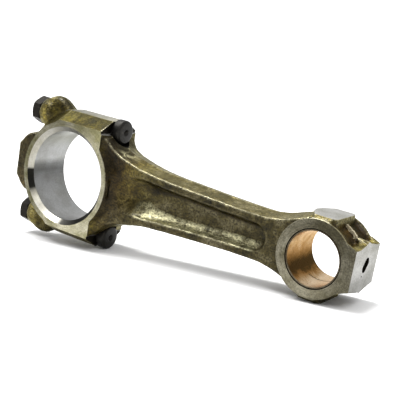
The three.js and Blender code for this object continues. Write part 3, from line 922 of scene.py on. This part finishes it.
def headSeatTools(side):
    h = headSeat
    low, high = sorted((side * h["step"], side * farAway))
    near, far = h["reach"], h["reach"] + h["spotLength"]
    return [block("seatTool", (near, -30, low), (far, 30, high)),
            roundBar("spotTool", near, far, h["spot"], centre=(0, 0, side * boltZ))]


def ledgeTool(side):
    # the bright chamfer where the head's notch meets the shoulder
    edge, step = headSeat["reach"], headSeat["step"]
    outline = [(edge - 0.2, side * (step + 0.4)), (edge + 1.1, side * (step - 0.9)),
               (edge + 6, side * (step - 0.9)), (edge + 6, side * (step + 0.4))]
    return drafted("ledgeTool", [(y, outline) for y in (-30, 30)])


def pinBoreTool():
    half = pinFace + 3
    return roundBar("pinBoreTool", -half, half, pinEnd["housing"], axis="y", centre=(pinX, 0, 0), steps=150)


oilWay = {"hole": 1.8, "slot": 2.9, "slotLength": 9.4, "depth": 2.8, "tilt": 0.62, "shift": (0.8, 1.2),
          "dot": (-2.0, -5.0)}


def oilTools():
    o = oilWay
    face = pinX + pinEnd["pad"]
    hole = roundBar("oilHole", pinX, face + 3, o["hole"], steps=32)
    straight = o["slotLength"] / 2 - o["slot"]
    outline = (arc(o["slot"], -math.pi / 2, math.pi / 2, 12, (straight, 0))
               + arc(o["slot"], math.pi / 2, 3 * math.pi / 2, 12, (-straight, 0)))
    c, s = math.cos(math.pi / 2 - o["tilt"]), math.sin(math.pi / 2 - o["tilt"])
    shiftY, shiftZ = o["shift"]
    ring = [(u * c - v * s + shiftY, u * s + v * c + shiftZ) for u, v in outline]
    slot = fromRings("oilSlot", [[(x, y, z) for y, z in ring] for x in (face - o["depth"], face + 3)])
    dotProfile = [(face - 0.7, 0), (face, 0.5), (face + 1, 0.8), (face + 1, 0)]
    dot = turned("oilDot", dotProfile, centre=(0, *o["dot"]), steps=16)
    return [hole, slot, dot]


def shellNotchTool(side):
    # where the tongue of a bearing shell sits, on one side of the joint
    c = crankEnd
    low, high = sorted((0, side * c["notchLong"]))
    return block("notchTool", (low, c["notchFrom"], c["bore"] - 2),
                 (high, c["notchFrom"] + c["notchWide"], c["bore"] + c["notchDeep"]))


def boltHoleTool(side, fromX, toX):
    return roundBar("boltHole", fromX, toX, boltHoleRadius, centre=(0, 0, side * boltZ), steps=48)


def rootWear(p):
    # the start of the pocket and the root beside the shoulder
    along = limited((62 - p.x) / 14) * limited((p.x - 28) / 5)
    return along * limited((15 - abs(p.z)) / 5) * limited((abs(p.y) - 3) / 2)


def buildRodBody():
    width, edge, middle = beam["halfWidth"], beamOutline(0), beamOutline(beam["lean"])
    body = drafted("rodBody", [(-width, edge), (0, middle), (width, edge)])
    for vertex in body.data.vertices:       # the root spreads into the shoulder
        vertex.co.y *= 1 + beam["rootFlare"] * max(0, (beam["rootEnd"] - vertex.co.x) / 10) ** 2
    combine(body, [drafted("crank", crankSections(rodCrankOutline)), pinBlank(), endPadBlank(),
                   sidePadBlank(1), sidePadBlank(-1)], "UNION")
    cut(body, [pocketTool(1), pocketTool(-1)])
    wearSkin(body, forged)
    forge(body, 1, rootWear)
    print("rod forged,", len(body.data.vertices), "points")
    pad, face = pinEnd["pad"], pinX + pinEnd["pad"]
    combine(body, flashRidges(), "UNION", flashSteel)
    cut(body, faceTools(crankFace, -10, 60, 70) + landTools(-5, 26.5), thrustSteel)
    cut(body, crankChamferTools(), chamferSteel)
    cut(body, [crankBoreTool()], boreSteel)
    cut(body, faceTools(pinFace, pinX - 40, face + 9, 40), pinSteel)
    cut(body, [pinBoreTool()], darkOilAndShadeSteel)
    cut(body, [block("padTool", (pinX - 20, -30, pad), (pinX + 40, 30, 40)),
               block("padTool", (pinX - 20, -30, -40), (pinX + 40, 30, -pad)),
               block("padTool", (face, -30, -40), (face + 20, 30, 40))], padSteel)
    cut(body, slopeTools(), slopeSteel)
    cut(body, rimBevels(), bevelSteel)
    cut(body, oilTools(), darkOilAndShadeSteel)
    cut(body, headSeatTools(1) + headSeatTools(-1), darkOilAndShadeSteel)
    cut(body, [ledgeTool(1), ledgeTool(-1)], padSteel)
    cut(body, [block("partingTool", (-20, -40, -70), (0.06, 40, 70)), shellNotchTool(1),
               boltHoleTool(1, -5, 30), boltHoleTool(-1, -5, 30)], boreSteel)
    return body


# bearing cap
capShape = {
    "seat": 36.5,
    # collar round a bolt as (along, radius), and the ridge that the dies leave along its middle
    "collar": [(-38.5, 0), (-38.5, 8.2), (-36.5, 9.0), (-33, 9.9), (-28.5, 9.6), (-24, 7.6), (-19, 4.0),
               (-19, 0)],
    "ridgeLine": [(-36.0, 43.6), (-34.5, 45.6), (-30, 47.6), (-25.5, 48.0), (-21.5, 46.9), (-17, 44.2),
                  (-13.4, 41.6), (-10, 38.8)],
    # half width and how far it has dropped
    "ridge": [(0, 0), (2.4, 0.1), (4.2, 1.2), (5.6, 4.2), (6.4, 8)],
    "padHalfHeight": 13.0,
    "padHalfWidth": 10.0,
    "padRoot": 20.0,
}


def capBossBlanks(side):
    c = capShape
    collar = turned("collar", c["collar"], centre=(0, 0, side * boltZ), steps=64)
    line = smoothLine(c["ridgeLine"], 6)
    rows = [(-half, drop) for half, drop in c["ridge"][::-1]] + c["ridge"][1:]
    sections = []
    for y, drop in rows:
        top = [(x, side * (z - drop)) for x, z in line]
        sections.append((y, [(line[0][0], side * 28)] + top + [(line[-1][0], side * 28)]))
    return [collar, drafted("ridge", sections)]


def capPadBlank():
    c = capShape
    far = capPadX - 1.5

    def outline(lean):
        half, root = c["padHalfHeight"] + lean, c["padRoot"] + lean
        points = [(-32, root + 1), (-41, root), (-45.5, root - 3), (capPadX + 1.5, half + 0.5),
                  (far, half - 3)]
        upper = smoothLine(points, 4)
        return upper + [(x, -z) for x, z in upper[::-1]]
    width = c["padHalfWidth"]
    return drafted("capPad", [(-width, outline(0)), (0, outline(1)), (width, outline(0))])


def buildBearingCap():
    c = capShape
    cap = drafted("bearingCap", crankSections(capCrankOutline))
    combine(cap, capBossBlanks(1) + capBossBlanks(-1) + [capPadBlank()], "UNION")
    wearSkin(cap, forged)
    forge(cap, 2)
    print("cap forged,", len(cap.data.vertices), "points")
    cut(cap, faceTools(crankFace, -60, 10, 70) + landTools(-13.5, 5), thrustSteel)
    cut(cap, crankChamferTools(), chamferSteel)
    cut(cap, [crankBoreTool()], boreSteel)
    seats = []
    for side in (1, -1):
        low, high = sorted((side * (c["padRoot"] + 1.6), side * farAway))
        seats.append(block("nutSeat", (-60, -30, low), (-c["seat"], 30, high)))
    cut(cap, seats + [block("capPadTool", (-60, -30, -18), (capPadX, 30, 18))], darkOilAndShadeSteel)
    cut(cap, [block("partingTool", (-0.06, -40, -70), (20, 40, 70)), shellNotchTool(-1),
              boltHoleTool(1, -40, 5), boltHoleTool(-1, -40, 5)], boreSteel)
    return cap


# bolts, nuts and bush
boltShape = {"shank": 4.5, "head": 8.0, "headHeight": 6.2, "edge": 1.8, "dimple": 2.0, "dimpleDepth": 1.5,
             "pitch": 1.0, "threadLength": 16.0, "threadDepth": 0.5}


def buildBolt(name, side):
    b = boltShape
    under = headTop - b["headHeight"]
    profile = [(boltEnd, 0), (boltEnd, b["shank"] - 1.1)]
    x = boltEnd + 0.6
    while x < boltEnd + b["threadLength"]:
        profile += [(x, b["shank"] - b["threadDepth"]), (x + b["pitch"] / 2, b["shank"])]
        x += b["pitch"]
    profile += [(x + 1, b["shank"]), (under, b["shank"]), (under, b["head"] - 0.3), (under + 0.3, b["head"]),
                (headTop - b["edge"], b["head"])]
    for angle in (30, 60, 90):
        a = math.radians(angle)
        profile.append((headTop - b["edge"] * (1 - math.sin(a)), b["head"] - b["edge"] * (1 - math.cos(a))))
    profile += [(headTop, b["dimple"] + 0.3), (headTop - 0.3, b["dimple"]), (headTop - b["dimpleDepth"], 0.4),
                (headTop - b["dimpleDepth"], 0)]
    return turned(name, profile, centre=(0, 0, side * boltZ), steps=72)


nutShape = {"flats": 16.4, "chamfer": 2.1, "hole": 4.55, "mouth": 6, "clearance": 0.02}


def buildNut(name, side):
    n = nutShape
    corner = n["flats"] / math.sqrt(3)
    chamfer = n["chamfer"]
    near = -capShape["seat"] - n["clearance"]
    middle = (0, 0, side * boltZ)
    ring = [(corner * math.sin(i * math.pi / 3), corner * math.cos(i * math.pi / 3)) for i in range(6)]
    nut = fromRings(name, [[(x, y, z + side * boltZ) for y, z in ring] for x in (nutFar, near)])
    rounder = [(nutFar, 0), (nutFar, corner - chamfer), (nutFar + chamfer * 0.6, corner + 0.05),
               (near - chamfer * 0.6, corner + 0.05), (near, corner - chamfer), (near, 0)]
    combine(nut, [turned("nutRounder", rounder, centre=middle, steps=96)], "INTERSECT")
    hole = [(nutFar - 1, 0), (nutFar - 1, n["mouth"]), (nutFar + 0.7, n["hole"]), (near - 0.7, n["hole"]),
            (near + 1, n["mouth"]), (near + 1, 0)]
    return cut(nut, [turned("nutHole", hole, centre=middle, steps=72)])


bushShape = {
    "bore": 15.8,
    "outer": 17.1,
    "lip": 16.6,
    "rim": 16.3,
    "chamfer": 0.25,
    "short": 0.3,
    "seamFrom": -119,       # degrees round the bore
    "seamTo": -66,
    "seamStart": 0.3,       # how far back the seam starts, and how far it runs
    "seamRun": 3.4,
}


def buildBush():
    b = bushShape
    bore, lip = b["bore"], b["lip"]
    half = pinFace - b["short"]
    side = [(half - 1.6, b["outer"]), (half - 0.5, lip + 0.1), (half, lip), (half, b["rim"]),
            (half, bore + b["chamfer"]), (half - b["chamfer"], bore)]
    profile = [(-y, r) for y, r in side][::-1] + side
    bush = turned("pinBush", profile, axis="y", centre=(pinX, 0, 0), steps=180)
    hole = roundBar("bushHole", pinX, pinX + 22, oilWay["hole"], steps=32)

    def section(i):
        y = b["seamStart"] + b["seamRun"] * (i / 24) ** 1.5
        return [(y - 0.5, bore - 1), (y + 0.5, bore - 1), (y + 0.36, bore + 0.8), (y - 0.36, bore + 0.8)]
    seam = sweptRing("bushSeam", 24, b["seamFrom"], b["seamTo"], section)
    bush.data.materials.append(bronze)
    cut(bush, [hole, seam], darkOilAndShadeSteel)
    bush.data.materials.append(bushEndSteel)
    dark = bush.data.materials.find(darkOilAndShadeSteel.name)
    end = bush.data.materials.find(bushEndSteel.name)
    for face in bush.data.polygons:
        centre = face.center
        radius = math.hypot(centre.x - pinX, centre.z)
        if radius > bore + 0.06 and abs(centre.y) > half - 2:
            face.material_index = dark if radius > lip - 0.1 else end
    return bush


def place(obj, body, node, angle=32):
    # from millimetres about the crank bore into the frame, then onto its body
    obj.data.transform(Matrix.Translation(crankCentre) @ Matrix.Diagonal((mm, mm, mm, 1)))
    points = np.clip(pointsOf(obj), cadLow, cadHigh)        # never proud of the frame
    obj.data.vertices.foreach_set("co", points.ravel())
    obj.data.polygons.foreach_set("use_smooth", [True] * len(obj.data.polygons))
    obj.data.set_sharp_from_angle(angle=math.radians(angle))
    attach(obj, body)
    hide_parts(node)
    return obj


rodBody = place(buildRodBody(), "rod", "rod_body")
bearingCap = place(buildBearingCap(), "cap", "bearing_cap")
pinBush = place(buildBush(), "rod", "pin_bush")
fasteners = []
for side, where in ((1, "upper"), (-1, "lower")):
    bolt = buildBolt(where + "Bolt", side)
    bolt.data.materials.append(boltBlack)
    place(bolt, where + "_bolt", where + "_bolt")
    nut = buildNut(where + "Nut", side)
    wearSkin(nut, nutBrown)
    place(nut, where + "_nut", where + "_nut")
    fasteners += [bolt, nut]
print("all pieces made")


# floor, light and camera
def restingLine(points):
    # lower hull seen from the side: the edge under the middle is what the rod stands on
    hull = []
    for p in sorted(points):
        while len(hull) > 1:
            (ax, az), (bx, bz) = hull[-2], hull[-1]
            if (bx - ax) * (p[1] - az) - (bz - az) * (p[0] - ax) > 0:
                break
            hull.pop()
        hull.append(p)
    middle = (hull[0][0] + hull[-1][0]) / 2
    for left, right in zip(hull, hull[1:]):
        if left[0] <= middle <= right[0]:
            return left, right


floorLook = {"size": 6, "colour": (0.85, 0.85, 0.85), "rough": 0.9}


def addFloor():
    points = set()
    for obj in [rodBody, bearingCap] + fasteners:
        points.update((round(float(x), 5), float(z)) for x, z in pointsOf(obj)[:, [0, 2]])
    (ax, az), (bx, bz) = restingLine(points)
    tilt = math.atan2(bz - az, bx - ax)
    mesh = bpy.data.meshes.new("floor")
    size = floorLook["size"]
    corners = [(x, y, 0) for x, y in ((-size, -size), (size, -size), (size, size), (-size, size))]
    mesh.from_pydata(corners, [], [(0, 1, 2, 3)])
    floor = newObject("floor", mesh)
    floor.matrix_world = Matrix.Translation((ax, 0, az - 0.0001)) @ Matrix.Rotation(-tilt, 4, "Y")
    material, shader = newMaterial("floorPaper")
    shader.inputs["Base Color"].default_value = (*floorLook["colour"], 1)
    shader.inputs["Roughness"].default_value = floorLook["rough"]
    mesh.materials.append(material)
    print("floor tilted", round(math.degrees(tilt), 2), "degrees under the rod")
    return floor


lights = {
    "sky": {"kind": "SUN", "from": (-0.30, 0.06, 0.95), "softness": 0.3, "power": 3.0},
    "overheadLeft": {"kind": "AREA", "from": (-0.48, -0.25, 0.82), "size": 0.3, "power": 4.5},
    "frontRight": {"kind": "AREA", "from": (0.45, -0.5, 0.75), "size": 0.3, "power": 2},
}
tent = {
    "To Min": 0.3,                  # strength of the dark side of the light tent
    "To Max": 1.15,                 # strength of its bright side
    "From Min": -0.9,               # how far round it each begins
    "From Max": 0.7,
    "towards": (-0.35, 0.7, 0.62),  # the bright side
}


def addLights():
    target = Vector((0, 0, 0.05))
    for name, light in lights.items():
        data = bpy.data.lights.new(name, light["kind"])
        if light["kind"] == "SUN":
            data.angle = light["softness"]
        else:
            data.size = light["size"]
        data.energy = light["power"]
        lamp = bpy.data.objects.new(name, data)
        bpy.context.scene.collection.objects.link(lamp)
        lamp.location = light["from"]
        lamp.rotation_euler = (target - lamp.location).to_track_quat("-Z", "Y").to_euler()
    world = bpy.data.worlds.new("studio")
    bpy.context.scene.world = world
    world.use_nodes = True
    n = nodeKit(world)
    background = world.node_tree.nodes["Background"]
    facing = n.add("VectorMath", operation="DOT_PRODUCT")
    n.link(n.add("TexCoord").outputs["Generated"], facing.inputs[0])
    facing.inputs[1].default_value = Vector(tent["towards"]).normalized()
    span = n.add("MapRange", interpolation_type="SMOOTHSTEP")
    n.link(facing.outputs["Value"], span.inputs["Value"])
    for socket in ("From Min", "From Max", "To Min", "To Max"):
        span.inputs[socket].default_value = tent[socket]
    n.link(span.outputs["Result"], background.inputs["Strength"])
    background.inputs["Color"].default_value = (1, 1, 1, 1)
    bpy.context.scene.view_settings.view_transform = "Standard"


# place in millimetres from the middle of the crank bore, angles in degrees
cameraPlace = {"from": (364.3, -431.9, 124.5), "azimuth": 31.77, "elevation": 12.9, "roll": 9.87,
               "lens": 76.0, "sensor": 36}


def addCamera():
    c = cameraPlace
    data = bpy.data.cameras.new("camera")
    data.lens = c["lens"]
    data.sensor_width = c["sensor"]
    camera = bpy.data.objects.new("camera", data)
    bpy.context.scene.collection.objects.link(camera)
    turn = Matrix.Identity(4)
    for angle, axis in ((c["azimuth"], "Z"), (90 - c["elevation"], "X"), (c["roll"], "Z")):
        turn = turn @ Matrix.Rotation(math.radians(angle), 4, axis)
    camera.matrix_world = Matrix.Translation(crankCentre + Vector(c["from"]) * mm) @ turn
    bpy.context.scene.camera = camera
    print("camera set")


addFloor()
addLights()
addCamera()
